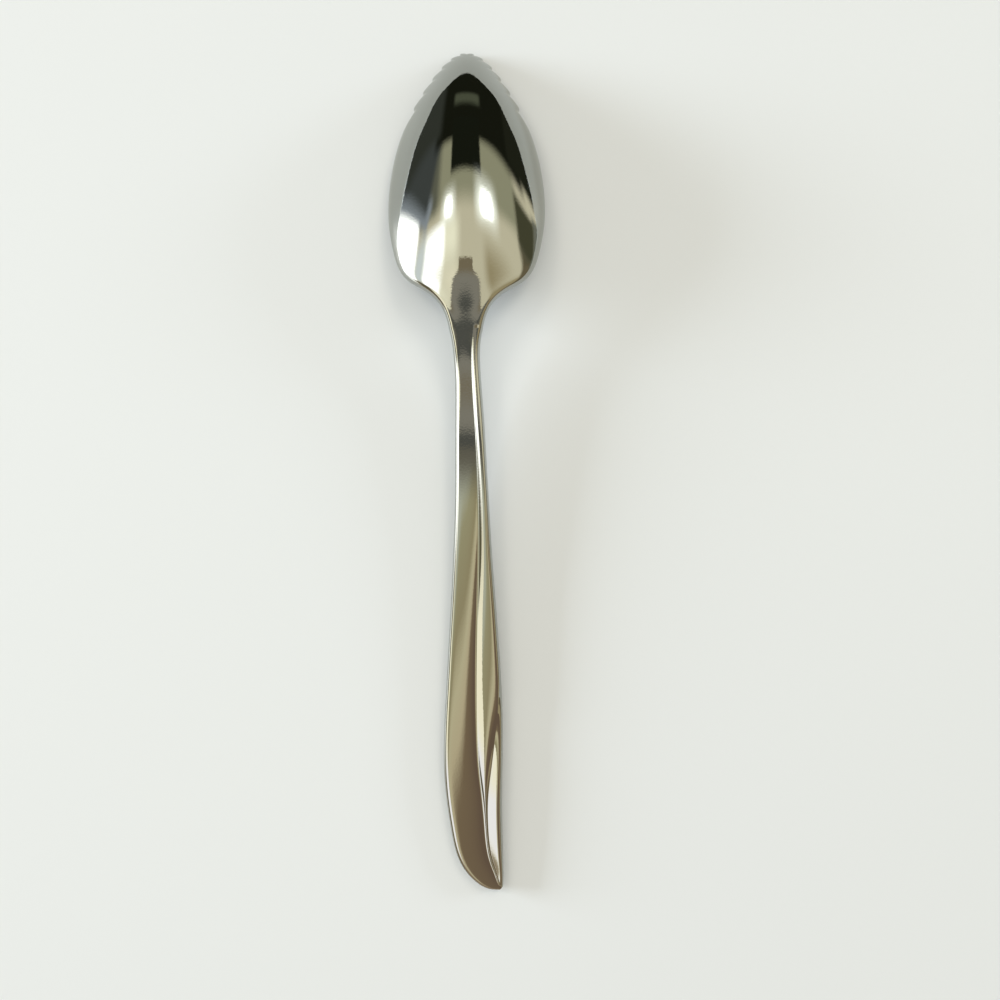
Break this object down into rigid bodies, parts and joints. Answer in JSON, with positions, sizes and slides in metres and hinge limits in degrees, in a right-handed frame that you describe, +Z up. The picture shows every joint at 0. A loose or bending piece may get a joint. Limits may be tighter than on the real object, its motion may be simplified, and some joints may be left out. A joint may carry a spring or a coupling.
{
  "type": "grapefruit spoon",
  "caption": "Grapefruit spoon in polished stainless steel, with a deep pointed bowl, a scalloped toothed tip and a flat handle with a flowing creased relief.",
  "frame": {"origin": "middle of the spoon's box, on the table that it lies on, back up", "axes": "+Y from the handle's tail to the toothed tip, +Z up from the table, +X across the bowl"},
  "size_m": [0.0284, 0.1524, 0.0108],
  "materials": {
    "stainless_steel": "polished"
  },
  "bodies": {
    "root": {"bowl": "stainless_steel", "neck": "stainless_steel", "handle": "stainless_steel"}
  },
  "joints": []
}
